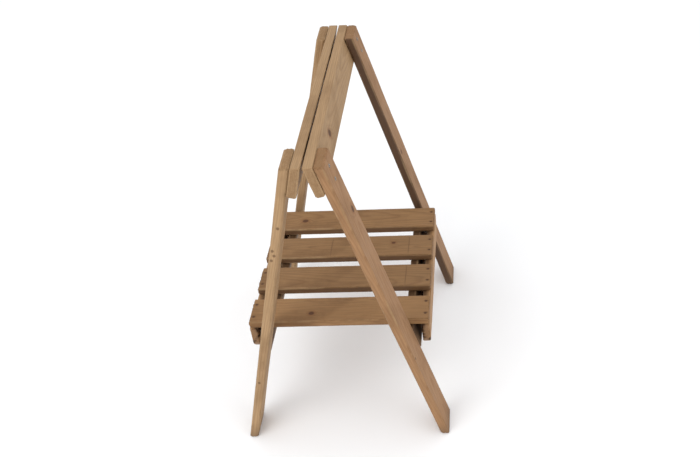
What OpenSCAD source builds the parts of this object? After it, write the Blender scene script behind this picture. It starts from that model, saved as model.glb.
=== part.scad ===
// Folding sawhorse: two leaning board frames hinged along the top, held apart by
// a lift-off slatted shelf whose end rails hook over the frames' crossbars.
// Millimetres, +Z up. Origin on the floor, midway between the four feet.
// X runs across the spread of the feet, Y runs along the top.

/* [Overall] */
// Height of the flat top above the floor
trestle_h = 725; // [650:5:800]
// Length along the top, from front legs' front edge to rear legs' rear edge
depth = 560; // [560:10:700]
// Lean of each frame from the vertical, in degrees
lean = 14.25; // [12:0.25:16]
// Gap between the two top rails when the legs are spread
top_gap = 1.3; // [1:0.1:3]

/* [Boards] */
// Width of each leg board
leg_w = 70; // [60:2:72]
// Thickness of the leg and top rail boards
board_t = 19; // [17:0.5:22]
// Height of each top rail, measured down the lean
top_rail_h = 70; // [56:2:90]
// Thickness of each crossbar
crossbar_t = 19; // [19:1:30]
// Height of each crossbar, measured along the lean
crossbar_h = 58; // [45:1:62]

/* [Shelf] */
// Height of the slats' upper face above the floor
shelf_top = 277; // [260:1:300]
// Play between the shelf's end rails and the crossbars they hook over
hook_play = 1.8; // [1:0.1:4]
// Width of each slat
slat_w = 74; // [60:1:76]
// Thickness of the slats and of the shelf's end rails
slat_t = 18; // [15:0.5:20]
// Clear gap between neighbouring slats
slat_gap = 30; // [28:1:38]
// Height of each shelf end rail below the slats
shelf_rail_h = 58; // [45:1:60]
// Offset of the shelf towards the front legs
shelf_shift = 6; // [0:1:10]

/* [Hinges] */
// Length of each hinge
hinge_len = 64; // [56:2:80]
// Distance of each hinge from the middle of the top
hinge_y = 180; // [120:5:190]
// Outer radius of the hinge barrel
barrel_r = 5; // [4.5:0.25:6]
// Radius of the hinge pin
pin_r = 2.5; // [2:0.25:3]
// Thickness of each hinge leaf
leaf_t = 1.8; // [1.2:0.2:2.4]
// Reach of each leaf below the pin
leaf_reach = 30; // [28:1:34]

/* [Fasteners] */
// Shank radius of the slat nails
nail_r = 1.4; // [1.2:0.1:1.8]
// Head radius of the slat nails
nail_head_r = 3; // [2.5:0.25:4]
// Length of the slat nails
nail_len = 50; // [40:5:60]
// Shank radius of the long nails through the leg edges
long_nail_r = 1.9; // [1.6:0.1:2.2]
// Length of the long nails through the leg edges
long_nail_len = 105; // [95:5:120]
// Shank radius of the screws that hold the top rails
screw_r = 2; // [1.6:0.1:2.4]
// Length of the screws that hold the top rails
screw_len = 34; // [28:1:36]

/* [Hidden] */
$fn = 48;
lean_cos = cos(lean);
lean_sin = sin(lean);
lean_tan = tan(lean);
slat_count = 4;
leg_y = depth / 2 - leg_w;
spread = 2 * (trestle_h * lean_tan + 2 * board_t / lean_cos) + top_gap;
board_gap = 0.05;          // space around every shank in its bore
seat_gap = 0.3;            // space between the crossbars and the slats resting on them
barrel_clear = 0.35;       // space between a barrel and the other frame
pin_clear = 0.05;          // running clearance of the pin in the barrels
knuckles = 5;
knuckle_gap = 0.4;
knuckle_len = (hinge_len - (knuckles - 1) * knuckle_gap) / knuckles;
slat_under = shelf_top - slat_t;
rail_inner_x = spread / 2 - (slat_under - shelf_rail_h) * lean_tan + hook_play;
slat_len = 2 * (rail_inner_x + slat_t);
shelf_depth = slat_count * slat_w + (slat_count - 1) * slat_gap;
shelf_front = -shelf_shift - shelf_depth / 2;
rail_inset = slat_t / 2;
nail_edge = slat_w / 4;
nail_head_t = 1.2;
slat_nail_sink = 0.2;
long_nail_head_r = 1.25 * long_nail_r;
long_nail_punch = 2;      // depth of the long nails' heads under the leg edges
rail_face_n = 2 * board_t;
pin_reach = barrel_r + barrel_clear;
pin_z = trestle_h - (pin_reach / lean_cos - top_gap / 2) / lean_tan;
crossbar_top_s = (slat_under - seat_gap) / lean_cos;
crossbar_bottom_s = crossbar_top_s - crossbar_h;
top_rail_bottom_s = (trestle_h + rail_face_n * lean_sin) / lean_cos - top_rail_h;
leaf_screw_r = 1.6;
leaf_screw_head_r = 3.4;
leaf_screw_len = 17;
leaf_screw_head_h = 1.7;
screw_head_r = 4;
screw_head_h = 2.4;
head_sink = 0.4;
pin_head_r = 4;
pin_head_t = 1.4;

wood_leg = [0.68, 0.54, 0.40];
wood_rail = [0.62, 0.48, 0.35];
wood_slat = [0.55, 0.40, 0.28];
steel = [0.42, 0.40, 0.38];
rust = [0.30, 0.22, 0.17];

// Point n inside the right frame's outer face, at height z above the floor.
function at_height(n, z) = [spread / 2 - n / lean_cos - z * lean_tan, z];

// Point n inside the right frame's outer face, s along the lean from the foot.
function along(n, s) = [
    spread / 2 - s * lean_sin - n * lean_cos,
    s * lean_cos - n * lean_sin
];

// Height, along the lean, of a point on the outer face at height z.
function lean_len(z) = z / lean_cos;

// Heights of the two long nails in each crossbar end, along the lean.
function crossbar_nail_s() = [
    crossbar_bottom_s + crossbar_h * 0.28,
    crossbar_bottom_s + crossbar_h * 0.72
];

// Heights of the two screws in each leg top, along the lean.
function top_screw_s() = [
    lean_len(trestle_h) - top_rail_h * 0.70,
    lean_len(trestle_h) - top_rail_h * 0.28
];

// Middle of slat i along Y.
function slat_mid(i) = shelf_front + slat_w / 2 + i * (slat_w + slat_gap);

// Height of leaf screw k, of -1, 0 and 1, below the pin.
function leaf_screw_z(k) = k == 0 ? -22 : -14;

// Start of barrel segment i along the hinge.
function knuckle_y(i) = -hinge_len / 2 + i * (knuckle_len + knuckle_gap);

// Puts its children on the left frame, or leaves them on the right one.
module on_side(side) {
    if (side < 0) {
        mirror([1, 0, 0]) {
            children();
        }
    } else {
        children();
    }
}

// Upright slab from a section in the XZ plane, between two Y positions.
module board(section, y0, y1) {
    translate([0, y1, 0])
        rotate([90, 0, 0])
            linear_extrude(height = y1 - y0)
                polygon(section);
}

// Places children n inside the outer face and s up the lean, X axis outward.
module lean_at(n, s, y) {
    p = along(n, s);
    translate([p[0], y, p[1]])
        rotate([0, -lean, 0])
            children();
}

// Round nail along -Z with its head's underside at the origin.
module nail(r, len, head_r, head_t) {
    tip = 2.5 * r;
    union() {
        cylinder(h = head_t, r = head_r);
        translate([0, 0, tip - len])
            cylinder(h = len - tip, r = r);
        translate([0, 0, -len])
            cylinder(h = tip, r1 = r / 5, r2 = r);
    }
}

// Bore for a nail shank along -Z.
module nail_bore(r, len) {
    translate([0, 0, -len - board_gap])
        cylinder(h = len + 1, r = r + board_gap);
}

// Seat for a nail head driven in just under the face, with its underside at the origin.
module nail_seat(head_r) {
    cylinder(h = 5, r = head_r + board_gap);
}

// Countersunk screw along -Z with its flat head's top at the origin.
module csk_screw(r, len, head_r, head_h) {
    tip = 2.5 * r;
    difference() {
        union() {
            translate([0, 0, -head_h])
                cylinder(h = head_h, r1 = r, r2 = head_r);
            translate([0, 0, tip - len])
                cylinder(h = len - tip - head_h / 2, r = r);
            translate([0, 0, -len])
                cylinder(h = tip, r1 = r / 5, r2 = r);
        }
        translate([-head_r * 0.7, -head_r * 0.12, -head_h * 0.4])
            cube([head_r * 1.4, head_r * 0.24, head_h]);
    }
}

// Bore for a countersunk screw along -Z, with room above its head.
module csk_bore(r, len, head_r, head_h) {
    union() {
        translate([0, 0, -head_h])
            cylinder(h = head_h, r1 = r + board_gap, r2 = head_r + board_gap);
        translate([0, 0, -board_gap / 2])
            cylinder(h = 3, r = head_r + board_gap);
        translate([0, 0, -len - board_gap])
            cylinder(h = len, r = r + board_gap);
    }
}

// Children at every long nail of the right frame; end is -1 front, 1 rear.
module at_frame_nails(end) {
    for (s = crossbar_nail_s()) {
        p = along(board_t / 2, s);
        translate([p[0], end * (depth / 2 - long_nail_punch - nail_head_t), p[1]])
            rotate([-90 * end, 0, 0])
                children();
    }
}

// Children at every top screw of the right frame's leg at one end.
module at_top_screws(end) {
    for (s = top_screw_s()) {
        lean_at(head_sink, s, end * (depth - leg_w) / 2)
            rotate([0, 90, 0])
                children();
    }
}

// Children at every leaf screw of the right frame's hinge at one end.
module at_leaf_screws(end) {
    for (k = [-1, 0, 1]) {
        translate([0, end * hinge_y, pin_z])
            rotate([0, -lean, 0])
                translate([pin_reach - leaf_t, k * hinge_len * 0.34, leaf_screw_z(k)])
                    rotate([0, -90, 0])
                        children();
    }
}

// Children at every slat nail, for the rail on one side.
module at_slat_nails(side) {
    for (i = [0 : slat_count - 1]) {
        for (k = [-1, 1]) {
            translate([
                side * (slat_len / 2 - rail_inset),
                slat_mid(i) + k * nail_edge,
                shelf_top - slat_nail_sink - nail_head_t
            ])
                children();
        }
    }
}

// Leg board of one side and end, feet and top cut level.
module leg(side, end) {
    y0 = end < 0 ? -depth / 2 : leg_y;
    section = [
        at_height(0, 0),
        at_height(0, trestle_h),
        at_height(board_t, trestle_h),
        at_height(board_t, 0)
    ];
    color(wood_leg)
        on_side(side)
            difference() {
                board(section, y0, y0 + leg_w);
                at_frame_nails(end)
                    union() {
                        nail_bore(long_nail_r, long_nail_len);
                        nail_seat(long_nail_head_r);
                    }
                at_top_screws(end)
                    csk_bore(screw_r, screw_len, screw_head_r, screw_head_h);
            }
}

// Top rail on the inner faces of one frame's legs.
module top_rail(side) {
    section = [
        at_height(board_t, trestle_h),
        at_height(rail_face_n, trestle_h),
        along(rail_face_n, top_rail_bottom_s),
        along(board_t, top_rail_bottom_s)
    ];
    color(wood_rail)
        on_side(side)
            difference() {
                board(section, -depth / 2, depth / 2);
                for (end = [-1, 1]) {
                    at_top_screws(end)
                        csk_bore(screw_r, screw_len, screw_head_r, screw_head_h);
                    at_leaf_screws(end)
                        csk_bore(leaf_screw_r, leaf_screw_len, leaf_screw_head_r, leaf_screw_head_h);
                }
            }
}

// Crossbar between one frame's legs, outer face flush with theirs.
module crossbar(side) {
    section = [
        along(0, crossbar_bottom_s),
        along(0, crossbar_top_s),
        along(crossbar_t, crossbar_top_s),
        along(crossbar_t, crossbar_bottom_s)
    ];
    color(wood_rail)
        on_side(side)
            difference() {
                board(section, -leg_y, leg_y);
                for (end = [-1, 1]) {
                    at_frame_nails(end)
                        nail_bore(long_nail_r, long_nail_len);
                }
            }
}

// Long nails through the legs' narrow edges into the crossbar ends.
module frame_nails(side) {
    color(rust)
        on_side(side)
            for (end = [-1, 1]) {
                at_frame_nails(end)
                    nail(long_nail_r, long_nail_len, long_nail_head_r, nail_head_t);
            }
}

// Screws through the legs into the top rail.
module top_screws(side) {
    color(steel)
        on_side(side)
            for (end = [-1, 1]) {
                at_top_screws(end)
                    csk_screw(screw_r, screw_len, screw_head_r, screw_head_h);
            }
}

// Barrel segments of one leaf, along Y; first is 0 or 1.
module barrels(first, r, extra) {
    for (i = [first : 2 : knuckles - 1]) {
        translate([0, knuckle_y(i) - extra, 0])
            rotate([-90, 0, 0])
                cylinder(h = knuckle_len + 2 * extra, r = r);
    }
}

// Hinge leaf of one side and end: a screwed plate with its barrel segments.
module hinge_leaf(side, end) {
    own = side < 0 ? 0 : 1;
    color(steel)
        on_side(side)
            difference() {
                translate([0, end * hinge_y, pin_z])
                    rotate([0, -lean, 0])
                        difference() {
                            union() {
                                translate([pin_reach - leaf_t, -hinge_len / 2, -leaf_reach])
                                    cube([leaf_t, hinge_len, leaf_reach]);
                                barrels(own, barrel_r, 0);
                            }
                            barrels(1 - own, barrel_r + barrel_clear, knuckle_gap);
                            rotate([-90, 0, 0])
                                cylinder(h = 2 * hinge_len, r = pin_r + pin_clear, center = true);
                        }
                at_leaf_screws(end)
                    csk_bore(leaf_screw_r, leaf_screw_len, leaf_screw_head_r, leaf_screw_head_h);
            }
}

// Hinge pin with a peened head at each end.
module hinge_pin(end) {
    color(steel)
        translate([0, end * hinge_y, pin_z])
            rotate([-90, 0, 0])
                union() {
                    cylinder(h = hinge_len, r = pin_r, center = true);
                    for (k = [-1, 1]) {
                        translate([0, 0, k * (hinge_len + pin_head_t) / 2])
                            cylinder(h = pin_head_t, r = pin_head_r, center = true);
                    }
                }
}

// Screws of one frame's hinge leaves.
module leaf_screws(side) {
    color(steel)
        on_side(side)
            for (end = [-1, 1]) {
                at_leaf_screws(end)
                    csk_screw(leaf_screw_r, leaf_screw_len, leaf_screw_head_r, leaf_screw_head_h);
            }
}

// Shelf slat i, counted from the front.
module slat(i) {
    color(wood_slat)
        difference() {
            translate([-slat_len / 2, slat_mid(i) - slat_w / 2, slat_under])
                cube([slat_len, slat_w, slat_t]);
            for (side = [-1, 1]) {
                at_slat_nails(side)
                    union() {
                        nail_bore(nail_r, nail_len);
                        nail_seat(nail_head_r);
                    }
            }
        }
}

// Rail under one end of the slats, hooking over the outside of a crossbar.
module shelf_rail(side) {
    x0 = side < 0 ? -slat_len / 2 : rail_inner_x;
    color(wood_rail)
        difference() {
            translate([x0, shelf_front, slat_under - shelf_rail_h])
                cube([slat_t, shelf_depth, shelf_rail_h]);
            at_slat_nails(side)
                nail_bore(nail_r, nail_len);
        }
}

// Nails through the slat ends into the shelf's end rails.
module slat_nails() {
    color(rust)
        for (side = [-1, 1]) {
            at_slat_nails(side)
                nail(nail_r, nail_len, nail_head_r, nail_head_t);
        }
}

leg(-1, -1);  // leg_left_front
leg(-1, 1);  // leg_left_rear
leg(1, -1);  // leg_right_front
leg(1, 1);  // leg_right_rear
top_rail(-1);  // top_rail_left
top_rail(1);  // top_rail_right
crossbar(-1);  // crossbar_left
crossbar(1);  // crossbar_right
frame_nails(-1);  // frame_nails_left
frame_nails(1);  // frame_nails_right
top_screws(-1);  // top_screws_left
top_screws(1);  // top_screws_right
hinge_leaf(-1, -1);  // hinge_leaf_left_front
hinge_leaf(-1, 1);  // hinge_leaf_left_rear
hinge_leaf(1, -1);  // hinge_leaf_right_front
hinge_leaf(1, 1);  // hinge_leaf_right_rear
hinge_pin(-1);  // hinge_pin_front
hinge_pin(1);  // hinge_pin_rear
leaf_screws(-1);  // leaf_screws_left
leaf_screws(1);  // leaf_screws_right
slat(0);  // slat_1
slat(1);  // slat_2
slat(2);  // slat_3
slat(3);  // slat_4
shelf_rail(-1);  // shelf_rail_left
shelf_rail(1);  // shelf_rail_right
slat_nails();
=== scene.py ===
import logging
import math
import random
from dataclasses import dataclass
from enum import Enum

import bpy
from mathutils import Matrix, Vector


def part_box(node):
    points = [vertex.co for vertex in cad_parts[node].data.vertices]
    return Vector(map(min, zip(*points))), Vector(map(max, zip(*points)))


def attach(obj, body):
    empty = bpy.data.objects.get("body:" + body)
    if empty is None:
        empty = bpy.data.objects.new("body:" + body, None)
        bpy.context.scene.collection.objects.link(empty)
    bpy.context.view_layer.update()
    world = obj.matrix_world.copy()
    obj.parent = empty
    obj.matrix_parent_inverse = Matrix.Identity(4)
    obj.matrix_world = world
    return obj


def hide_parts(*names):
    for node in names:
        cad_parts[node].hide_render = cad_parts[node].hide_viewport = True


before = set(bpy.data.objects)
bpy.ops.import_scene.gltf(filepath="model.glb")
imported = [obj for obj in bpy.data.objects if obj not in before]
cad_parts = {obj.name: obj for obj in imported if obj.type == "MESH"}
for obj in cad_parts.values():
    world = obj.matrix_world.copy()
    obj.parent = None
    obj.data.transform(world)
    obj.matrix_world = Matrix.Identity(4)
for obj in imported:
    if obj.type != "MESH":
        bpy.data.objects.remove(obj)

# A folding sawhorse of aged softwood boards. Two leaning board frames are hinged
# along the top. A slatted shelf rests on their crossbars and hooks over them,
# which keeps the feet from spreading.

MM = 0.001
LEAN = math.radians(14.25)
SLAT_COUNT = 4
SKIN = 0.3 * MM  # boards are made this much under size, so rough faces stay inside

Tree = bpy.types.NodeTree
Socket = bpy.types.NodeSocket
Layer = tuple[Socket, str]  # a mask, and the colour that shows where it is on

log = logging.getLogger("sawhorse")


class Side(Enum):
    """One of the two leaning frames."""

    LEFT = -1
    RIGHT = 1

    @property
    def word(self) -> str:
        """The side's name in lower case."""
        return self.name.lower()

    @property
    def body(self) -> str:
        """The moving body that this frame's boards belong to."""
        return f"{self.word}_frame"


class End(Enum):
    """One end of the sawhorse, along its top."""

    FRONT = -1
    REAR = 1

    @property
    def word(self) -> str:
        """The end's name in lower case."""
        return self.name.lower()


def linear(hex_colour: str) -> tuple[float, float, float, float]:
    """Turns an sRGB hex colour into the linear colour that shaders use.

    Args:
        hex_colour: six hex digits with a leading hash.

    Returns:
        Red, green, blue and an alpha of one.
    """
    parts = [int(hex_colour[i : i + 2], 16) / 255 for i in (1, 3, 5)]
    toe, gain = 12.92, 1.055
    values = [c / toe if c <= 0.04045 else ((c + gain - 1) / gain) ** 2.4 for c in parts]
    return values[0], values[1], values[2], 1.0


def add_node(
    tree: Tree,
    kind: str,
    values: dict | None = None,
    links: dict | None = None,
    **settings: object,
) -> bpy.types.Node:
    """Adds one shader node with its settings, its input values and its links.

    Args:
        tree: the node tree to add to.
        kind: the node's type, without the ShaderNode prefix.
        values: input name or number to default value.
        links: input name or number to the output socket that feeds it.
        settings: properties of the node itself.

    Returns:
        The new node.
    """
    node = tree.nodes.new(f"ShaderNode{kind}")
    for key, value in settings.items():
        setattr(node, key, value)
    for key, value in (values or {}).items():
        node.inputs[key].default_value = value
    for key, source in (links or {}).items():
        tree.links.new(source, node.inputs[key])
    return node


def set_ramp(node: bpy.types.Node, stops: list[tuple[float, tuple]]) -> bpy.types.Node:
    """Gives a colour ramp its stops.

    Args:
        node: the colour ramp node.
        stops: position and colour of each stop, in order.

    Returns:
        The same node.
    """
    ramp = node.color_ramp
    while len(ramp.elements) < len(stops):
        ramp.elements.new(1.0)
    for element, (position, colour) in zip(ramp.elements, stops):
        element.position = position
        element.color = colour
    return node


def deselect_all() -> None:
    """Leaves object mode with nothing selected."""
    if bpy.context.object and bpy.context.object.mode != "OBJECT":
        bpy.ops.object.mode_set(mode="OBJECT")
    bpy.ops.object.select_all(action="DESELECT")


def make_active(obj: bpy.types.Object) -> None:
    """Selects one object only and makes it the active one.

    Args:
        obj: the object.
    """
    deselect_all()
    obj.select_set(True)
    bpy.context.view_layer.objects.active = obj


def apply_modifier(obj: bpy.types.Object, kind: str, **settings: object) -> None:
    """Adds a modifier, gives it its settings and applies it.

    Args:
        obj: the object it works on.
        kind: the modifier's type.
        settings: its properties.
    """
    make_active(obj)
    modifier = obj.modifiers.new(kind.lower(), kind)
    for key, value in settings.items():
        setattr(modifier, key, value)
    bpy.ops.object.modifier_apply(modifier=modifier.name)


def frame_axes(side: Side) -> tuple[Vector, Vector]:
    """Directions of one leaning frame.

    Args:
        side: which frame.

    Returns:
        The outward normal of its boards and the way up its legs.
    """
    out = Vector((side.value * math.cos(LEAN), 0, math.sin(LEAN)))
    up = Vector((-side.value * math.sin(LEAN), 0, math.cos(LEAN)))
    return out, up


def place_matrix(centre: Vector, thick_axis: Vector, long_axis: Vector) -> Matrix:
    """Where a board lies.

    Args:
        centre: the board's middle.
        thick_axis: unit vector through its thickness.
        long_axis: unit vector along its length.

    Returns:
        The turn and move from board axes (thickness, width, length) to the sawhorse.
    """
    wide_axis = long_axis.cross(thick_axis)
    turn = Matrix((thick_axis, wide_axis, long_axis)).transposed().to_4x4()
    return Matrix.Translation(centre) @ turn


@dataclass(frozen=True)
class Knot:
    """A knot that goes through a board's thickness.

    Args:
        across: place across the board's width, from its middle.
        along: place along its length, from its middle.
        radius: radius of the dark heart.
    """

    across: float
    along: float
    radius: float


@dataclass(frozen=True)
class Mark:
    """A stain, an old hole, a dent or a patch of painted shade, as an oval spot in the wood's
    colour.

    Args:
        centre: its middle, in board axes.
        reach: its half sizes along the board axes.
        shade: its colour.
        strength: how far it hides the wood, from 0 to 1.
    """

    centre: tuple[float, float, float]
    reach: tuple[float, float, float]
    shade: str = "#3d2818"
    strength: float = 0.8


@dataclass(frozen=True)
class Split:
    """A drying crack that runs in from a board's end.

    Args:
        across: place across the board's width, from its middle.
        end: -1 or 1, the end it starts from.
        length: how far it runs in.
        width: how wide it gapes at the end.
        tilt: its turn about the board's length, in degrees.
    """

    across: float
    end: int
    length: float
    width: float
    tilt: float = 0.0


@dataclass(frozen=True)
class Chop:
    """A corner broken off a board, as a flat cut.

    Args:
        point: a point on the cut, in board axes.
        normal: direction of the wood that goes.
    """

    point: tuple[float, float, float]
    normal: tuple[float, float, float]


class Tone(Enum):
    """How aged a board of the same pine looks; the right legs' and the shelf's tones are also
    darker as painted shade.
    """

    LEG = ("#a78762", "#8d6c49", "#775a3d", "#82623f")
    # Redder pine, also darkened as painted shade.
    RUDDY_LEG = ("#9d7651", "#865f3b", "#6f4f33", "#82623f")
    RAIL = ("#a27c55", "#82603d", "#5f432c", "#8c6d50")
    # The slats' pine, made darker than the legs' partly as painted shade.
    SHELF = ("#967149", "#7b5735", "#5d4028", "#8a6a4c")

    @property
    def early(self) -> str:
        """Wide pale band of each year's growth."""
        return self.value[0]

    @property
    def late(self) -> str:
        """Narrow dark band of each year's growth."""
        return self.value[1]

    @property
    def grime(self) -> str:
        """Dirt rubbed into the surface."""
        return self.value[2]

    @property
    def end_grain(self) -> str:
        """The thirsty, darker cut ends."""
        return self.value[3]


@dataclass(frozen=True)
class AgedPine:
    """Bare softwood, sawn and planed, then handled and soiled for years.

    The eye gets a dull tan-brown surface with soft growth rings, long fibre
    streaks, cloudy dirt, darker ends and slightly rubbed corners.

    Args:
        tone: how aged the board looks.
        ring: spacing of the growth rings.
        pith: place of the tree's centre, across the thickness and the width.
        seed: moves the clouds and the fibres, so no two boards match.
        shade: brightness of this board against its neighbours; where it is low on a board that
            sits in shadow, it is painted shade.
    """

    tone: Tone
    ring: float
    pith: tuple[float, float]
    seed: float
    shade: float = 1.0

    def material(self, board: "Board") -> bpy.types.Material:
        """Makes the board's material, laid out in the board's own axes.

        Args:
            board: the board it covers.

        Returns:
            The material.
        """
        material = bpy.data.materials.new(f"aged_pine_{board.name}")
        material.use_nodes = True
        tree = material.node_tree
        tree.nodes.clear()
        point = self._board_point(tree, board)
        clouds = add_node(
            tree, "TexNoise", {"Scale": 9.0, "Detail": 5.0, "Roughness": 0.6}, {"Vector": point}
        )
        grain = self._growth_rings(tree, board, point)
        fibre = self._fibres(tree, point)
        colour = self._wood_colour(tree, grain, fibre, clouds.outputs["Fac"])
        layers = self._knots(tree, board, point, clouds.outputs["Color"])
        layers += self._dirt(tree, board, point, clouds.outputs["Fac"])
        for mask, shade in layers:
            colour = add_node(
                tree, "Mix", {7: linear(shade)}, {0: mask, 6: colour}, data_type="RGBA"
            ).outputs[2]
        rough = add_node(
            tree,
            "MapRange",
            {"From Min": 0.3, "From Max": 0.7, "To Min": 0.62, "To Max": 0.82},
            {"Value": clouds.outputs["Fac"]},
        )
        relief = add_node(tree, "Math", {1: 0.35}, {0: grain, 2: fibre}, operation="MULTIPLY_ADD")
        bump = add_node(
            tree,
            "Bump",
            {"Strength": 0.55, "Distance": 0.6 * MM},
            {"Height": relief.outputs[0]},
        )
        shader = add_node(
            tree,
            "BsdfPrincipled",
            {"IOR": 1.5, "Specular IOR Level": 0.35},
            {"Base Color": colour, "Roughness": rough.outputs[0], "Normal": bump.outputs[0]},
        )
        add_node(tree, "OutputMaterial", links={"Surface": shader.outputs[0]})
        return material

    def _board_point(self, tree: Tree, board: "Board") -> Socket:
        """The surface point in board axes: thickness, width, length.

        Args:
            tree: the material's nodes.
            board: the board.

        Returns:
            The point.
        """
        coords = add_node(tree, "TexCoord")
        place = board.place
        mapping = add_node(
            tree,
            "Mapping",
            {"Location": place.translation, "Rotation": place.to_euler()},
            {"Vector": coords.outputs["Object"]},
            vector_type="TEXTURE",
        )
        return mapping.outputs[0]

    def _growth_rings(self, tree: Tree, board: "Board", point: Socket) -> Socket:
        """Rings round a pith beside the board, swirling round its knots.

        Args:
            tree: the material's nodes.
            board: the board.
            point: the surface point in board axes.

        Returns:
            A mask of the rings' dark bands.
        """
        slow = add_node(
            tree,
            "Mapping",
            {"Location": (self.seed, self.seed * 0.7, 0), "Scale": (1, 1, 0.22)},
            {"Vector": point},
        )
        sway = add_node(
            tree, "TexNoise", {"Scale": 16.0, "Detail": 2.0}, {"Vector": slow.outputs[0]}
        )
        bent = add_node(
            tree,
            "VectorMath",
            {1: (14 * MM,) * 3},
            {0: sway.outputs["Color"], 2: point},
            operation="MULTIPLY_ADD",
        )
        # A slight tilt of the trunk against the board draws the long arches.
        trunk = add_node(
            tree,
            "Mapping",
            {
                "Location": (-self.pith[0] - 7 * MM, -self.pith[1] - 7 * MM, 0),
                "Rotation": (0.02, 0.045, 0),
            },
            {"Vector": bent.outputs[0]},
        )
        flat = add_node(
            tree, "VectorMath", {1: (1, 1, 0)}, {0: trunk.outputs[0]}, operation="MULTIPLY"
        )
        radius = add_node(tree, "VectorMath", links={0: flat.outputs[0]}, operation="LENGTH")
        phase = add_node(
            tree, "Math", {1: 1 / self.ring}, {0: radius.outputs["Value"]}, operation="MULTIPLY"
        ).outputs[0]
        for knot in board.knots:
            swirl = add_node(
                tree,
                "MapRange",
                {"From Min": 3.2 * knot.radius, "From Max": 0.5 * knot.radius, "To Max": 1.6},
                {"Value": self._knot_distance(tree, knot, point)},
                interpolation_type="SMOOTHSTEP",
            )
            phase = add_node(
                tree, "Math", links={0: phase, 1: swirl.outputs[0]}, operation="ADD"
            ).outputs[0]
        year = add_node(tree, "Math", links={0: phase}, operation="FRACT")
        band = set_ramp(
            add_node(tree, "ValToRGB", links={"Fac": year.outputs[0]}),
            [
                (0.0, (0.25,) * 3 + (1,)),
                (0.18, (0, 0, 0, 1)),
                (0.62, (0.3,) * 3 + (1,)),
                (0.88, (1, 1, 1, 1)),
                (1.0, (0.3,) * 3 + (1,)),
            ],
        )
        return band.outputs["Color"]

    def _fibres(self, tree: Tree, point: Socket) -> Socket:
        """Streaks along the grain, drawn 2.5 mm wide because real ones don't show.

        Args:
            tree: the material's nodes.
            point: the surface point in board axes.

        Returns:
            The streaks, round a middle of a half.
        """
        stretched = add_node(
            tree,
            "Mapping",
            {"Location": (self.seed * 3, self.seed * 5, 0), "Scale": (400, 400, 14)},
            {"Vector": point},
        )
        noise = add_node(
            tree,
            "TexNoise",
            {"Scale": 1.0, "Detail": 4.0, "Roughness": 0.65},
            {"Vector": stretched.outputs[0]},
        )
        return noise.outputs["Fac"]

    def _wood_colour(self, tree: Tree, grain: Socket, fibre: Socket, clouds: Socket) -> Socket:
        """Growth rings, fibres and cloudy ageing mixed into one colour.

        Args:
            tree: the material's nodes.
            grain: mask of the dark bands.
            fibre: the streaks.
            clouds: the cloudy pattern.

        Returns:
            The colour.
        """
        early, late = (
            tuple(c * self.shade for c in linear(shade)[:3]) + (1,)
            for shade in (self.tone.early, self.tone.late)
        )
        soft_grain = add_node(tree, "Math", {1: 0.55}, {0: grain}, operation="MULTIPLY")
        rings = add_node(
            tree, "Mix", {6: early, 7: late}, {0: soft_grain.outputs[0]}, data_type="RGBA"
        )
        streaks = add_node(
            tree,
            "MapRange",
            {"From Min": 0.32, "From Max": 0.68, "To Min": 0.84, "To Max": 1.12},
            {"Value": fibre},
        )
        streaked = add_node(
            tree,
            "VectorMath",
            links={0: rings.outputs[2], 1: streaks.outputs[0]},
            operation="MULTIPLY",
        )
        age = add_node(
            tree,
            "MapRange",
            {"From Min": 0.44, "From Max": 0.74, "To Min": 0.0, "To Max": 0.5},
            {"Value": clouds},
            interpolation_type="SMOOTHSTEP",
        )
        aged = add_node(
            tree,
            "Mix",
            {7: linear(self.tone.grime)},
            {0: age.outputs[0], 6: streaked.outputs[0]},
            data_type="RGBA",
        )
        return aged.outputs[2]

    def _knot_distance(self, tree: Tree, knot: Knot, point: Socket) -> Socket:
        """Distance from a knot's axis, a little squeezed along the grain.

        Args:
            tree: the material's nodes.
            knot: the knot.
            point: the surface point in board axes.

        Returns:
            The distance.
        """
        offset = add_node(
            tree,
            "VectorMath",
            {1: (0, knot.across, knot.along)},
            {0: point},
            operation="SUBTRACT",
        )
        oval = add_node(
            tree, "VectorMath", {1: (0, 1, 0.8)}, {0: offset.outputs[0]}, operation="MULTIPLY"
        )
        length = add_node(tree, "VectorMath", links={0: oval.outputs[0]}, operation="LENGTH")
        return length.outputs["Value"]

    def _knots(self, tree: Tree, board: "Board", point: Socket, wobble: Socket) -> list[Layer]:
        """Dark hearts with a ruddy halo, and the board's marks, old holes, rust and painted shade
        among them.

        Args:
            tree: the material's nodes.
            board: the board.
            point: the surface point in board axes.
            wobble: the pattern that makes their edges uneven.

        Returns:
            Their layers, from the bottom up.
        """
        uneven = add_node(
            tree,
            "VectorMath",
            {1: (5 * MM,) * 3},
            {0: wobble, 2: point},
            operation="MULTIPLY_ADD",
        )
        shifted = add_node(
            tree,
            "VectorMath",
            {1: (2.5 * MM,) * 3},
            {0: uneven.outputs[0]},
            operation="SUBTRACT",
        ).outputs[0]
        layers = []
        for knot in board.knots:
            distance = self._knot_distance(tree, knot, shifted)
            for reach, shade, strength in ((2.3, "#7a4c2a", 0.5), (1.15, "#4a2c18", 0.85)):
                mask = add_node(
                    tree,
                    "MapRange",
                    {
                        "From Min": reach * knot.radius,
                        "From Max": 0.7 * knot.radius,
                        "To Max": strength,
                    },
                    {"Value": distance},
                    interpolation_type="SMOOTHSTEP",
                )
                layers.append((mask.outputs[0], shade))
        for mark in board.stains:
            offset = add_node(
                tree, "VectorMath", {1: mark.centre}, {0: shifted}, operation="SUBTRACT"
            )
            scaled = add_node(
                tree, "VectorMath", {1: mark.reach}, {0: offset.outputs[0]}, operation="DIVIDE"
            )
            away = add_node(tree, "VectorMath", links={0: scaled.outputs[0]}, operation="LENGTH")
            stain = add_node(
                tree,
                "MapRange",
                {"From Min": 1.0, "From Max": 0.45, "To Max": mark.strength},
                {"Value": away.outputs["Value"]},
                interpolation_type="SMOOTHSTEP",
            )
            layers.append((stain.outputs[0], mark.shade))
        return layers

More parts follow.
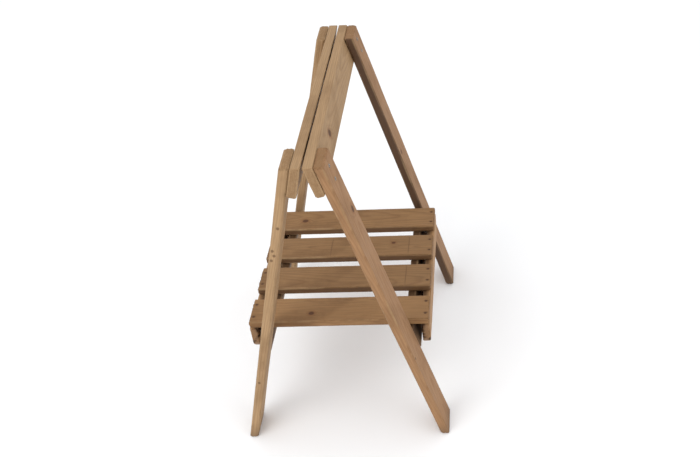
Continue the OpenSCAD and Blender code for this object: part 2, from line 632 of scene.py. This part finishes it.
    def _dirt(self, tree: Tree, board: "Board", point: Socket, clouds: Socket) -> list[Layer]:
        """Rubbed corners, dark end grain, and floor dirt near a foot.

        Args:
            tree: the material's nodes.
            board: the board.
            point: the surface point in board axes.
            clouds: the pattern that makes their edges ragged.

        Returns:
            Their layers, from the bottom up.
        """
        half = Vector(board.size) / 2
        size = add_node(tree, "VectorMath", links={0: point}, operation="ABSOLUTE")
        inset = add_node(tree, "VectorMath", {0: half}, {1: size.outputs[0]}, operation="SUBTRACT")
        depth = add_node(tree, "SeparateXYZ", links={0: inset.outputs[0]})
        from_arris = add_node(
            tree,
            "Math",
            links={0: depth.outputs["X"], 1: depth.outputs["Y"]},
            operation="MAXIMUM",
        )
        ragged = add_node(
            tree,
            "Math",
            {1: -9 * MM},
            {0: clouds, 2: from_arris.outputs[0]},
            operation="MULTIPLY_ADD",
        )
        rubbed = add_node(
            tree,
            "MapRange",
            {"From Min": -0.5 * MM, "From Max": -4 * MM, "To Max": 0.45},
            {"Value": ragged.outputs[0]},
            interpolation_type="SMOOTHSTEP",
        )
        height = add_node(
            tree, "VectorMath", {1: board.end_normal}, {0: point}, operation="DOT_PRODUCT"
        ).outputs["Value"]
        reach = add_node(tree, "Math", links={0: height}, operation="ABSOLUTE")
        end = add_node(
            tree,
            "MapRange",
            {
                "From Min": board.end_half - 1.8 * MM,
                "From Max": board.end_half - 0.6 * MM,
                "To Max": 0.75,
            },
            {"Value": reach.outputs[0]},
        )
        layers = [(rubbed.outputs[0], "#b3946d"), (end.outputs[0], self.tone.end_grain)]
        if board.stands:
            low = add_node(
                tree, "Math", {1: 60 * MM}, {0: clouds, 2: height}, operation="MULTIPLY_ADD"
            )
            splash = add_node(
                tree,
                "MapRange",
                {
                    "From Min": -board.end_half + 75 * MM,
                    "From Max": -board.end_half + 25 * MM,
                    "To Max": 0.6,
                },
                {"Value": low.outputs[0]},
                interpolation_type="SMOOTHSTEP",
            )
            layers.append((splash.outputs[0], "#6a543f"))
        return layers


@dataclass(frozen=True)
class WeatheredSteel:
    """Mild steel: dull zinc plate on hinges and screws, brown rust on wire nails.

    The eye gets a soft grey sheen broken by brown spots, or a dark rough brown.

    Args:
        name: what the piece is.
        metal: colour of the clean metal.
        rust: colour of the rust.
        rust_share: how much of the surface is rusty, from 0 to 1.
        crust: colour of the thickest rust.
    """

    name: str
    metal: str
    rust: str
    rust_share: float
    crust: str = "#2c1b12"

    def material(self) -> bpy.types.Material:
        """Makes the material.

        Returns:
            The material.
        """
        material = bpy.data.materials.new(self.name)
        material.use_nodes = True
        tree = material.node_tree
        tree.nodes.clear()
        coords = add_node(tree, "TexCoord")
        spots = add_node(
            tree,
            "TexNoise",
            {"Scale": 420.0, "Detail": 4.0, "Roughness": 0.62},
            {"Vector": coords.outputs["Object"]},
        )
        edge = 0.66 - 0.32 * self.rust_share
        mask = add_node(
            tree,
            "MapRange",
            {"From Min": edge - 0.05, "From Max": edge + 0.07},
            {"Value": spots.outputs["Fac"]},
            interpolation_type="SMOOTHSTEP",
        )
        tint = set_ramp(
            add_node(tree, "ValToRGB", links={"Fac": mask.outputs[0]}),
            [(0.0, linear(self.metal)), (0.55, linear(self.rust)), (1.0, linear(self.crust))],
        )
        dull = add_node(
            tree, "MapRange", {"To Min": 0.42, "To Max": 0.88}, {"Value": mask.outputs[0]}
        )
        bare = add_node(
            tree, "MapRange", {"To Min": 1.0, "To Max": 0.0}, {"Value": mask.outputs[0]}
        )
        bump = add_node(
            tree,
            "Bump",
            {"Strength": 0.5, "Distance": 0.3 * MM},
            {"Height": spots.outputs["Fac"]},
        )
        shader = add_node(
            tree,
            "BsdfPrincipled",
            links={
                "Base Color": tint.outputs[0],
                "Roughness": dull.outputs[0],
                "Metallic": bare.outputs[0],
                "Normal": bump.outputs[0],
            },
        )
        add_node(tree, "OutputMaterial", links={"Surface": shader.outputs[0]})
        return material


@dataclass
class Board:
    """One sawn board with worn corners, rough ends, chips and cracks.

    Args:
        name: name of the finished piece.
        node: the CAD node that it stands for.
        body: the body that it rides on.
        slot: the record's material slot; not used.
        size: thickness, width and length.
        place: from board axes to the sawhorse.
        finish: its wood.
        level: heights of its level-cut ends, or None where they are square.
        knots: its knots.
        nails: nails through its thickness, across and along.
        marks: its other marks, each a stain, an old hole, a dent or a patch of painted shade.
        splits: cracks at its ends.
        chops: corners broken off.
        sinks: conical screw sinks on its outer face, across and along.
        stands: whether its lower end stands on the floor.
        wear: how rough its corners are, 1 for a leg.
    """

    name: str
    node: str
    body: str
    slot: str
    size: tuple[float, float, float]
    place: Matrix
    finish: AgedPine
    level: tuple[float | None, float | None] = (None, None)
    knots: tuple[Knot, ...] = ()
    nails: tuple[tuple[float, float], ...] = ()
    marks: tuple[Mark, ...] = ()
    splits: tuple[Split, ...] = ()
    chops: tuple[Chop, ...] = ()
    sinks: tuple[tuple[float, float], ...] = ()
    stands: bool = False
    wear: float = 1.0

    @property
    def stains(self) -> tuple[Mark, ...]:
        """Its marks, painted shade among them, and the rust that has run into the wood round each
        nail.
        """
        reach = (30 * MM, 4.6 * MM, 7 * MM)
        rust = tuple(Mark((self.size[0] / 2, *nail), reach, "#5d3f27", 0.5) for nail in self.nails)
        return self.marks + rust

    @property
    def end_normal(self) -> Vector:
        """Normal of the upper end, in board axes."""
        if self.level[1] is None:
            return Vector((0, 0, 1))
        return self.place.to_3x3().transposed() @ Vector((0, 0, 1))

    @property
    def end_half(self) -> float:
        """Distance from the board's middle to the plane of its upper end."""
        if self.level[1] is None:
            return self.size[2] / 2
        return self.level[1] - self.place.translation.z

    def build(self) -> bpy.types.Object:
        """Models the board, places it and gives it its wood.

        Returns:
            The finished piece.
        """
        obj = self._blank()
        self._cut(obj)
        self._remesh(obj)
        self._weather(obj)
        obj.matrix_world = self.place
        make_active(obj)
        bpy.ops.object.transform_apply(location=True, rotation=True, scale=True)
        obj.data.materials.clear()
        obj.data.materials.append(self.finish.material(self))
        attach(obj, self.body)
        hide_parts(self.node)
        return obj

    def _blank(self) -> bpy.types.Object:
        """A sawn blank in board axes, cut to length and with its corners eased.

        Returns:
            The blank.
        """
        deselect_all()
        bpy.ops.mesh.primitive_cube_add(size=1)
        obj = bpy.context.object
        obj.name = self.name
        obj.data.name = self.name
        obj.scale = Vector(self.size) - Vector((2 * SKIN,) * 3)
        bpy.ops.object.transform_apply(location=False, rotation=False, scale=True)
        bpy.ops.object.mode_set(mode="EDIT")
        for height, way in zip(self.level, (-1, 1)):
            if height is None:
                continue
            cut = Vector((0, 0, height - way * SKIN))
            self._saw(self.place.inverted() @ cut, self.end_normal * way)
        for chop in self.chops:
            self._saw(Vector(chop.point), Vector(chop.normal))
        bpy.ops.mesh.select_all(action="SELECT")
        bpy.ops.mesh.bevel(offset=1.1 * MM * self.wear, segments=2, affect="EDGES")
        bpy.ops.object.mode_set(mode="OBJECT")
        return obj

    def _saw(self, point: Vector, normal: Vector) -> None:
        """Saws off what lies beyond a plane and closes the cut, in edit mode.

        Args:
            point: a point on the plane.
            normal: direction of the wood that goes.
        """
        bpy.ops.mesh.select_all(action="SELECT")
        bpy.ops.mesh.bisect(plane_co=point, plane_no=normal, use_fill=True, clear_outer=True)

    def _cut(self, obj: bpy.types.Object) -> None:
        """Takes the cracks and the sinks of its screws and nails out of the blank.

        Args:
            obj: the blank.
        """
        thick, _, length = self.size
        tools = []
        for split in self.splits:
            deselect_all()
            bpy.ops.mesh.primitive_cube_add(
                size=1, location=(0, split.across, split.end * length / 2)
            )
            wedge = bpy.context.object
            wedge.scale = (thick * 1.5, split.width, 2 * split.length)
            bpy.ops.object.transform_apply(location=True, rotation=False, scale=True)
            bpy.ops.object.mode_set(mode="EDIT")
            bpy.ops.mesh.select_all(action="DESELECT")
            bpy.ops.object.mode_set(mode="OBJECT")
            for face in wedge.data.polygons:
                face.select = face.normal.z * split.end < -0.9
            bpy.ops.object.mode_set(mode="EDIT")
            bpy.ops.transform.resize(value=(1, 0.12, 1), center_override=(0, split.across, 0))
            bpy.ops.transform.translate(value=(0, 0.8 * split.width, 0))
            bpy.ops.object.mode_set(mode="OBJECT")
            turn = Matrix.Rotation(math.radians(split.tilt), 4, "Z")
            move = Matrix.Translation((0, split.across, 0))
            wedge.matrix_world = move @ turn @ move.inverted()
            tools.append(wedge)
        sinks = [(spot, 2.0 * MM, 4.8 * MM, 1.2 * MM) for spot in self.sinks]
        sinks += [(spot, 2.9 * MM, 3.7 * MM, 0.4 * MM) for spot in self.nails]
        for (across, along), narrow, wide, inset in sinks:
            deselect_all()
            bpy.ops.mesh.primitive_cone_add(
                vertices=24,
                radius1=narrow,
                radius2=wide,
                depth=3.2 * MM,
                location=(thick / 2 - inset, across, along),
                rotation=(0, math.pi / 2, 0),
            )
            tools.append(bpy.context.object)
        for tool in tools:
            apply_modifier(obj, "BOOLEAN", operation="DIFFERENCE", object=tool, solver="EXACT")
            bpy.data.objects.remove(tool)

    def _remesh(self, obj: bpy.types.Object) -> None:
        """Gives the blank an even, fine mesh that can take wear.

        Args:
            obj: the blank.
        """
        voxel = 1.6 * MM
        apply_modifier(obj, "REMESH", mode="VOXEL", voxel_size=voxel, use_smooth_shade=True)

    def _weather(self, obj: bpy.types.Object) -> None:
        """Makes the faces slightly uneven, wears the corners and roughens the ends.

        Args:
            obj: the board.
        """
        half = Vector(self.size) / 2
        near = 2.4 * MM
        arris, ends = [], []
        for vertex in obj.data.vertices:
            depth = [h - abs(c) for h, c in zip(half, vertex.co)]
            at_end = self.end_half - abs(vertex.co.dot(self.end_normal)) < near
            if at_end:
                ends.append(vertex.index)
            if (depth[0] < near) + (depth[1] < near) + at_end > 1:
                arris.append(vertex.index)
        rng = random.Random(self.name)
        for name, members, grain, strength, middle in (
            ("", None, 110 * MM, 0.9 * MM, 0.5),
            ("", None, 14 * MM, 0.35 * MM, 0.5),
            ("arris", arris, 16 * MM, 3.4 * MM * self.wear, 0.86),
            ("arris", arris, 5 * MM, 1.5 * MM * self.wear, 0.8),
            ("ends", ends, 4 * MM, 1.6 * MM, 0.85),
        ):
            self._roughen(obj, rng, name, members, grain, strength, middle)
        obj.vertex_groups.clear()

    def _roughen(
        self,
        obj: bpy.types.Object,
        rng: random.Random,
        name: str,
        members: list[int] | None,
        grain: float,
        strength: float,
        middle: float,
    ) -> None:
        """Moves the surface in and out by a cloudy pattern.

        Args:
            obj: the board.
            rng: gives each pattern its own place.
            name: name of the group that takes part, or nothing for all.
            members: vertices of that group.
            grain: size of the pattern's lumps.
            strength: height from its lowest to its highest.
            middle: value of the pattern that leaves the surface where it is.
        """
        if name and name not in obj.vertex_groups:
            obj.vertex_groups.new(name=name).add(members, 1.0, "REPLACE")
        clouds = bpy.data.textures.new(f"{self.name}_clouds", "CLOUDS")
        clouds.noise_scale = grain
        clouds.noise_depth = 2
        shift = Vector([rng.uniform(-2, 2) for _ in range(3)])
        obj.data.transform(Matrix.Translation(shift))
        apply_modifier(
            obj,
            "DISPLACE",
            texture=clouds,
            texture_coords="LOCAL",
            strength=strength,
            mid_level=middle,
            vertex_group=name,
        )
        obj.data.transform(Matrix.Translation(-shift))
        bpy.data.textures.remove(clouds)


@dataclass
class LegFrame:
    """Two legs joined by a top rail and a crossbar, leaning on the other frame.

    Args:
        side: which of the two frames it is.
        thickness: thickness of all its boards.
        leg_width: width of a leg.
        top_rail_height: height of the top rail, along the lean.
        crossbar_height: height of the crossbar, along the lean.
        screw_drops: distances of the top rail's screws below a leg's top.
    """

    side: Side
    thickness: float = 19 * MM
    leg_width: float = 70 * MM
    top_rail_height: float = 70 * MM
    crossbar_height: float = 58 * MM
    screw_drops: tuple[float, float] = (49 * MM, 19.6 * MM)

    def build(self) -> list[bpy.types.Object]:
        """Builds the frame's boards.

        Returns:
            The finished boards.
        """
        boards = [self._leg(end) for end in End]
        boards += [self._top_rail(), self._crossbar()]
        return [board.build() for board in boards]

    def _along(self, node: str, inset: float, rise: float, y: float) -> Vector:
        """A point inset from the outer face and rise up the lean from the foot.

        Args:
            node: a leg of this frame.
            inset: distance in from the legs' outer face.
            rise: distance up the lean from the foot's outer edge.
            y: place along the sawhorse.

        Returns:
            The point.
        """
        low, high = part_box(node)
        foot = high.x if self.side is Side.RIGHT else low.x
        out, up = frame_axes(self.side)
        return Vector((foot, y, 0)) + up * rise - out * inset

    def _leg(self, end: End) -> Board:
        """One leg, cut level at its foot and top.

        Args:
            end: the end of the sawhorse that it stands at.

        Returns:
            The board.
        """
        node = f"leg_{self.side.word}_{end.word}"
        low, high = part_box(node)
        top = high.z
        middle = (top + self.thickness * math.sin(LEAN)) / math.cos(LEAN) / 2
        out, up = frame_axes(self.side)
        centre = self._along(node, self.thickness / 2, middle, (low.y + high.y) / 2)
        length = top / math.cos(LEAN) + 40 * MM
        edge = self.side.value * end.value * self.leg_width / 2  # the narrow outer edge
        old_hole = (4.2 * MM, 8 * MM, 4.8 * MM)
        holes = tuple(
            Mark((x, edge, z), old_hole, "#54381f", 0.7)
            for x, z in (
                (3 * MM, 0.158),
                (-1 * MM, 0.171),
                (3.5 * MM, 0.182),
                (2 * MM, -0.191),
                (-2 * MM, 0.238),
            )
        )
        beyond_edge = -self.leg_width / 2 - 2 * MM
        # Seed, brightness, knots and marks of each leg; the rear right leg's lower brightness and
        # its dark edge band are painted shade.
        looks = {
            (Side.LEFT, End.FRONT): (0.0, 1.04, (), holes),
            (Side.RIGHT, End.FRONT): (
                1.7,
                1.0,
                (Knot(14 * MM, 0.24, 6 * MM),),
                (Mark((self.thickness / 2, -25 * MM, -0.137), (6 * MM, 3.5 * MM, 4.5 * MM)),),
            ),
            (Side.LEFT, End.REAR): (3.1, 0.97, (Knot(12 * MM, -0.08, 6 * MM),), ()),
            (Side.RIGHT, End.REAR): (
                4.9,
                0.94,
                (Knot(-15 * MM, 0.05, 5 * MM),),
                # Painted shade: a dark band down the leg's front narrow edge.
                (Mark((0.0, beyond_edge, 0.0), (0.1, 9 * MM, 1.0), "#463020", 0.9),),
            ),
        }
        seed, shade, knots, marks = looks[self.side, end]
        # The right legs' redder tone is also darkened as painted shade.
        tone = Tone.LEG if self.side is Side.LEFT else Tone.RUDDY_LEG
        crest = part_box(f"crossbar_{self.side.word}")[1].z / math.cos(LEAN)
        filled = tuple(
            Mark(
                (0.0, edge, crest - share * self.crossbar_height - middle),
                (3.4 * MM, 5 * MM, 3.4 * MM),
                "#8a6c4a",
                0.4,
            )
            for share in (0.28, 0.72)
        )
        return Board(
            name=f"{node}_board",
            node=node,
            body=self.side.body,
            slot="leg_wood",
            size=(self.thickness, self.leg_width, length),
            place=place_matrix(centre, out, up),
            finish=AgedPine(tone, 4.2 * MM, (-38 * MM, 6 * MM), seed, shade),
            level=(0.0, top),
            knots=knots,
            marks=marks + filled,
            sinks=tuple((0.0, top / math.cos(LEAN) - drop - middle) for drop in self.screw_drops),
            stands=True,
        )

    def _top_rail(self) -> Board:
        """The rail that carries the load, bevelled level with the leg tops.

        Returns:
            The board.
        """
        node = f"top_rail_{self.side.word}"
        low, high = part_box(node)
        top, inner = high.z, 2 * self.thickness
        crest = (top + inner * math.sin(LEAN)) / math.cos(LEAN)
        bottom = crest - self.top_rail_height
        spare = 15 * MM
        height = self.top_rail_height + spare
        leg = f"leg_{self.side.word}_front"
        out, up = frame_axes(self.side)
        centre = self._along(leg, 1.5 * self.thickness, bottom + height / 2, 0)
        board = Board(
            name=f"{node}_board",
            node=node,
            body=self.side.body,
            slot="rail_wood",
            size=(self.thickness, height, high.y - low.y),
            place=place_matrix(centre, out, Vector((0, 1, 0))),
            finish=AgedPine(Tone.LEG, 3.6 * MM, (50 * MM, -8 * MM), 6.3 + self.side.value, 0.96),
            knots=(Knot(8 * MM, -0.12 * self.side.value, 7 * MM),),
            wear=0.8,
        )
        flat = board.place.inverted()
        board.chops = (
            Chop(
                tuple(flat @ Vector((0, 0, top - SKIN))),
                tuple(flat.to_3x3() @ Vector((0, 0, 1))),
            ),
        )
        return board

    def _crossbar(self) -> Board:
        """The bar between the legs that the shelf rests on.

        Returns:
            The board.
        """
        node = f"crossbar_{self.side.word}"
        low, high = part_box(node)
        crest = high.z / math.cos(LEAN)
        leg = f"leg_{self.side.word}_front"
        out, _ = frame_axes(self.side)
        top_edge = -self.side.value * self.crossbar_height / 2
        centre = self._along(leg, self.thickness / 2, crest - self.crossbar_height / 2, 0)
        return Board(
            name=f"{node}_bar",
            node=node,
            body=self.side.body,
            slot="rail_wood",
            size=(self.thickness, self.crossbar_height, high.y - low.y),
            place=place_matrix(centre, out, Vector((0, 1, 0))),
            # Its low brightness of 0.8 is painted shade under the shelf.
            finish=AgedPine(Tone.RAIL, 3.1 * MM, (30 * MM, 22 * MM), 8.8 + self.side.value, 0.8),
            knots=(Knot(-6 * MM, 0.09 * self.side.value, 6 * MM),),
            marks=(
                # Painted shade: a dark band along the top edge under the slats, and a darker front
                # end.
                Mark((0.0, top_edge, 0.0), (0.1, 38 * MM, 1.0), "#432c19", 0.8),
                Mark((0.0, 0.0, low.y), (0.1, 0.1, 70 * MM), "#432c19", 0.6),
            ),
            wear=0.4,
        )


@dataclass
class Shelf:
    """Slats on two end rails, resting on the crossbars and hooked over them.

    Args:
        body: the body that it moves with.
        nail_inset: distance of a slat's nails from its end.
    """

    body: str = "shelf"
    nail_inset: float = 8.5 * MM

    def build(self) -> list[bpy.types.Object]:
        """Builds the slats and the end rails.

        Returns:
            The finished boards.
        """
        boards = [self._slat(number) for number in range(1, SLAT_COUNT + 1)]
        boards += [self._rail(side) for side in Side]
        return [board.build() for board in boards]

    def _slat(self, number: int) -> Board:
        """One slat.

        Args:
            number: its place, counted from the front.

        Returns:
            The board.
        """
        node = f"slat_{number}"
        low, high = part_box(node)
        size = high - low
        nail_along = size.x / 2 - self.nail_inset
        nail_across = size.y / 4
        # Seed, brightness, knots and the pith's place of each slat; the lower brightness of the
        # slats behind the first is painted shade.
        looks = {
            1: (2.2, 0.98, (Knot(12 * MM, -0.06, 5 * MM),), (20 * MM, -24 * MM)),
            2: (5.5, 0.82, (), (-35 * MM, 18 * MM)),
            3: (7.4, 0.84, (Knot(-8 * MM, 0.10, 4 * MM),), (28 * MM, 4 * MM)),
            4: (9.9, 0.92, (Knot(4 * MM, -0.12, 6 * MM),), (-42 * MM, -12 * MM)),
        }
        seed, shade, knots, pith = looks[number]
        # Painted shade darkens the front edges of the slats behind the first.
        shaded_front_edge = Mark((0.0, size.y / 2 + 3 * MM, 0.0), (0.1, 6 * MM, 1.0), "#523720", 0.8)
        # Thin dark lines run across two of the slats.
        dark_cross_lines = {2: (0.135,), 3: (0.136, -0.043)}.get(number, ())
        marks = tuple(
            Mark((size.z / 2, 0.0, x), (12 * MM, 46 * MM, 1.9 * MM), "#5a3c24", 0.5)
            for x in dark_cross_lines
        )
        splits = {
            1: (Split(-11 * MM, 1, 34 * MM, 3.4 * MM), Split(9 * MM, -1, 26 * MM, 3 * MM)),
            3: (Split(14 * MM, -1, 40 * MM, 3.2 * MM),),
        }
        return Board(
            name=f"{node}_board",
            node=node,
            body=self.body,
            slot="shelf_wood",
            size=(size.z, size.y, size.x),
            place=place_matrix((low + high) / 2, Vector((0, 0, 1)), Vector((1, 0, 0))),
            finish=AgedPine(Tone.SHELF, 3.8 * MM, pith, seed, shade),
            knots=knots,
            nails=tuple(
                (across * nail_across, along * nail_along)
                for across in (-1, 1)
                for along in (-1, 1)
            ),
            marks=marks if number == 1 else (*marks, shaded_front_edge),
            splits=splits.get(number, ()),
            wear=1.15,
        )

    def _rail(self, side: Side) -> Board:
        """One end rail, its lower corners knocked off.

        Args:
            side: the side that it is on.

        Returns:
            The board.
        """
        node = f"shelf_rail_{side.word}"
        low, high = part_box(node)
        size = high - low
        half_h, half_l = size.z / 2, size.y / 2
        up = -side.value  # the width axis points down on the right and up on the left
        chops = tuple(
            Chop((0, -up * half_h, end * (half_l - reach)), (0, -up * 0.55, end * 0.83))
            for end, reach in ((-1, 9 * MM), (1, 5 * MM))
        ) + (
            Chop((size.x / 2, -up * (half_h - 5 * MM), 0), (0.8, -up * 0.6, 0)),
            Chop((-size.x / 2, up * (half_h - 14 * MM), -half_l), (-0.75, up * 0.3, -0.6)),
        )
        cracks = (
            Split(up * 7 * MM, -1, 30 * MM, 3.2 * MM, 24.0),
            Split(-up * 9 * MM, -1, 46 * MM, 4.0 * MM, -28.0),
            Split(-up * 6 * MM, 1, 24 * MM, 3.2 * MM, 15.0),
        )
        hole = Mark((-6 * MM, up * 24 * MM, -half_l), (6 * MM, 8 * MM, 14 * MM), "#33210f", 0.95)
        # A crack wanders over each front end and leaves a greyer chunk below it.
        path = {
            Side.LEFT: ((-8, 6, 2.4), (-4, 3, 2.0), (0, -2, 2.0), (4, -8, 2.2), (8, -12, 2.6)),
            Side.RIGHT: ((-8, 20, 3.6), (-7, 10, 3.2), (-6, 0, 3.0), (-5, -9, 2.8), (9, -16, 3.4)),
        }[side]
        crack = tuple(
            Mark(
                (x * MM, up * z * MM, -half_l),
                (2.4 * reach * MM, 1.8 * reach * MM, 14 * MM),
                "#35210f",
                0.95,
            )
            for x, z, reach in path
        )
        chunk = Mark((0.0, -up * 22 * MM, -half_l), (14 * MM, 12 * MM, 9 * MM), "#9c8b7d", 0.5)
        # Painted shade darkens the upper inner part of the rail, under the slats.
        shade_under_slats = Mark(
            (-size.x / 2 - 4 * MM, up * half_h, 0.0), (19 * MM, 26 * MM, 1.0), "#432c19", 0.75
        )
        return Board(
            name=f"{node}_board",
            node=node,
            body=self.body,
            slot="shelf_wood",
            size=(size.x, size.z, size.y),
            place=place_matrix((low + high) / 2, Vector((side.value, 0, 0)), Vector((0, 1, 0))),
            finish=AgedPine(Tone.RAIL, 3.4 * MM, (26 * MM, 9 * MM), 11.5 + side.value, 1.1),
            marks=(chunk, hole, *crack, shade_under_slats),
            splits=cracks,
            chops=chops,
            wear=1.3,
        )


@dataclass
class Nails:
    """A set of flat-headed wire nails of one size.

    Args:
        name: name of the finished piece.
        node: the CAD node that it stands for.
        body: the body that it rides on.
        head: radius of a head.
        spots: place of each head's underside and the way it faces.
    """

    name: str
    node: str
    body: str
    head: float
    spots: list[tuple[Vector, Vector]]

    def build(self, rust: bpy.types.Material) -> bpy.types.Object:
        """Models one nail and copies it to every spot.

        Args:
            rust: the nails' material.

        Returns:
            The finished set.
        """
        pattern = self._nail()
        rng = random.Random(self.name)
        copies = []
        for point, facing in self.spots:
            copy = pattern.copy()
            copy.data = pattern.data.copy()
            bpy.context.scene.collection.objects.link(copy)
            tilt = Matrix.Rotation(rng.uniform(-0.12, 0.12), 4, "X")
            spin = Matrix.Rotation(rng.uniform(0, math.tau), 4, "Z")
            turn = facing.to_track_quat("Z", "Y").to_matrix().to_4x4()
            copy.matrix_world = Matrix.Translation(point) @ turn @ tilt @ spin
            copies.append(copy)
        bpy.data.objects.remove(pattern)
        deselect_all()
        for copy in copies:
            copy.select_set(True)
        bpy.context.view_layer.objects.active = copies[0]
        bpy.ops.object.join()
        nails = bpy.context.object
        nails.name = self.name
        nails.data.name = self.name
        bpy.ops.object.transform_apply(location=True, rotation=True, scale=True)
        bpy.ops.object.shade_smooth_by_angle(angle=math.radians(35))
        nails.data.materials.clear()
        nails.data.materials.append(rust)
        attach(nails, self.body)
        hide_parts(self.node)
        return nails

    def _nail(self) -> bpy.types.Object:
        """One nail: a slightly crowned, hammered head on a short length of shank.

        Returns:
            The nail, at the origin and facing up.
        """
        deselect_all()
        depth = 1.1 * MM
        bpy.ops.mesh.primitive_cylinder_add(
            vertices=18, radius=self.head, depth=depth, location=(0, 0, depth / 2)
        )
        nail = bpy.context.object
        bpy.ops.object.mode_set(mode="EDIT")
        bpy.ops.mesh.select_all(action="DESELECT")
        bpy.ops.object.mode_set(mode="OBJECT")
        for face in nail.data.polygons:
            face.select = face.normal.z > 0.9
        bpy.ops.object.mode_set(mode="EDIT")
        bpy.ops.mesh.bevel(offset=0.3 * MM, segments=2, affect="EDGES")
        bpy.ops.mesh.select_all(action="DESELECT")
        bpy.ops.object.mode_set(mode="OBJECT")
        for face in nail.data.polygons:
            face.select = face.normal.z < -0.9
        bpy.ops.object.mode_set(mode="EDIT")
        bpy.ops.mesh.inset(thickness=self.head * 0.5)
        bpy.ops.mesh.extrude_region_move(TRANSFORM_OT_translate={"value": (0, 0, -6 * MM)})
        bpy.ops.transform.resize(value=(0.3, 0.3, 1))
        bpy.ops.object.mode_set(mode="OBJECT")
        return nail


@dataclass
class Fasteners:
    """Every nail and screw, and the hinges.

    Args:
        head: radius of a slat nail's head.
        inset: distance of the slat nails from a slat's end.
        seat: depth of their heads' undersides below the slat's face.
    """

    head: float = 3 * MM
    inset: float = 8.5 * MM
    seat: float = 1.4 * MM

    def build(self) -> list[bpy.types.Object]:
        """Makes the nails and dresses the screws and hinges.

        Returns:
            The finished pieces.
        """
        rust = WeatheredSteel("rusted_wire_nail", "#6b5645", "#6d4a30", 1.0, "#553823").material()
        zinc = WeatheredSteel("dull_zinc_plate", "#8f8c86", "#6b4a33", 0.28).material()
        spots = self._slat_spots()
        pieces = [Nails("slat_nail_heads", "slat_nails", "shelf", self.head, spots).build(rust)]
        coats = {"hinge_": zinc, "leaf_screws_": zinc, "top_screws_": zinc, "frame_nails_": rust}
        for name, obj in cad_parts.items():
            for start, coat in coats.items():
                if name.startswith(start):
                    obj.data.materials.clear()
                    obj.data.materials.append(coat)
                    pieces.append(obj)
        return pieces

    def _slat_spots(self) -> list[tuple[Vector, Vector]]:
        """Two nails in each end of each slat.

        Returns:
            Place of each head's underside and the way it faces.
        """
        spots = []
        for number in range(1, SLAT_COUNT + 1):
            low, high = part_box(f"slat_{number}")
            middle, size = (low + high) / 2, high - low
            for end in (-1, 1):
                for across in (-1, 1):
                    spot = Vector(
                        (
                            end * (size.x / 2 - self.inset),
                            middle.y + across * size.y / 4,
                            high.z - self.seat,
                        )
                    )
                    spots.append((spot, Vector((0, 0, 1))))
        return spots


@dataclass
class Studio:
    """A pale seamless floor, soft light and the camera.

    Args:
        eye: where the camera stands.
        heading: how far it looks to the left of straight back, in degrees.
        pitch: how far it looks down, in degrees.
        roll: how far it leans clockwise, in degrees.
        lens: its focal length in millimetres on a 36 mm wide frame.
        shift: how far the view moves off the lens's middle, in frame widths.
    """

    eye: tuple[float, float, float] = (0.3334, -1.5758, 1.6222)
    heading: float = 3.0
    pitch: float = 37.38
    roll: float = 3.44
    lens: float = 46.84
    shift: tuple[float, float] = (-0.15, -0.03)

    def build(self) -> None:
        """Makes the floor, the lights and the camera."""
        self._floor()
        self._lights()
        self._camera()

    def _floor(self) -> None:
        """A wide matt floor of pale paper."""
        deselect_all()
        bpy.ops.mesh.primitive_plane_add(size=14, location=(0, 0, 0))
        floor = bpy.context.object
        floor.name = "studio_floor"
        material = bpy.data.materials.new("matt_white_paper")
        material.use_nodes = True
        tree = material.node_tree
        tree.nodes.clear()
        shader = add_node(
            tree, "BsdfPrincipled", {"Base Color": linear("#fafafa"), "Roughness": 0.9}
        )
        add_node(tree, "OutputMaterial", links={"Surface": shader.outputs[0]})
        floor.data.materials.append(material)

    def _lights(self) -> None:
        """A big soft lamp from the front left, a weak one from the right."""
        world = bpy.data.worlds.new("studio")
        bpy.context.scene.world = world
        bpy.context.scene.view_settings.view_transform = "Standard"
        world.use_nodes = True
        sky = world.node_tree.nodes["Background"]
        sky.inputs["Color"].default_value = linear("#f7f8fa")
        sky.inputs["Strength"].default_value = 1.06
        for name, place, size, power in (
            ("key", (-1.5, -2.1, 2.9), 2.4, 38.0), ("fill", (2.2, -1.5, 1.9), 2.2, 8.0)
        ):
            lamp = bpy.data.lights.new(name, "AREA")
            lamp.shape = "DISK"
            lamp.size = size
            lamp.energy = power
            obj = bpy.data.objects.new(name, lamp)
            obj.location = place
            aim = Vector((0, 0, 0.3)) - Vector(place)
            obj.rotation_euler = aim.to_track_quat("-Z", "Y").to_euler()
            bpy.context.scene.collection.objects.link(obj)

    def _camera(self) -> None:
        """The camera, above and to the right of the near end."""
        data = bpy.data.cameras.new("camera")
        data.lens = self.lens
        data.sensor_width = 36.0
        data.shift_x, data.shift_y = self.shift
        camera = bpy.data.objects.new("camera", data)
        turn = (
            Matrix.Rotation(math.radians(self.heading), 4, "Z")
            @ Matrix.Rotation(math.radians(90 - self.pitch), 4, "X")
            @ Matrix.Rotation(math.radians(-self.roll), 4, "Z")
        )
        camera.matrix_world = Matrix.Translation(self.eye) @ turn
        bpy.context.scene.collection.objects.link(camera)
        bpy.context.scene.camera = camera


def main() -> None:
    """Builds the sawhorse and the studio."""
    logging.basicConfig(level=logging.INFO, format="%(name)s: %(message)s")
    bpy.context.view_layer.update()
    Studio().build()
    for assembly in (LegFrame(Side.LEFT), LegFrame(Side.RIGHT), Shelf(), Fasteners()):
        for piece in assembly.build():
            wood_or_steel = piece.data.materials[0].name
            log.info("%s: %d faces, %s", piece.name, len(piece.data.polygons), wood_or_steel)
    bpy.context.view_layer.update()


if __name__ == "__main__":
    main()
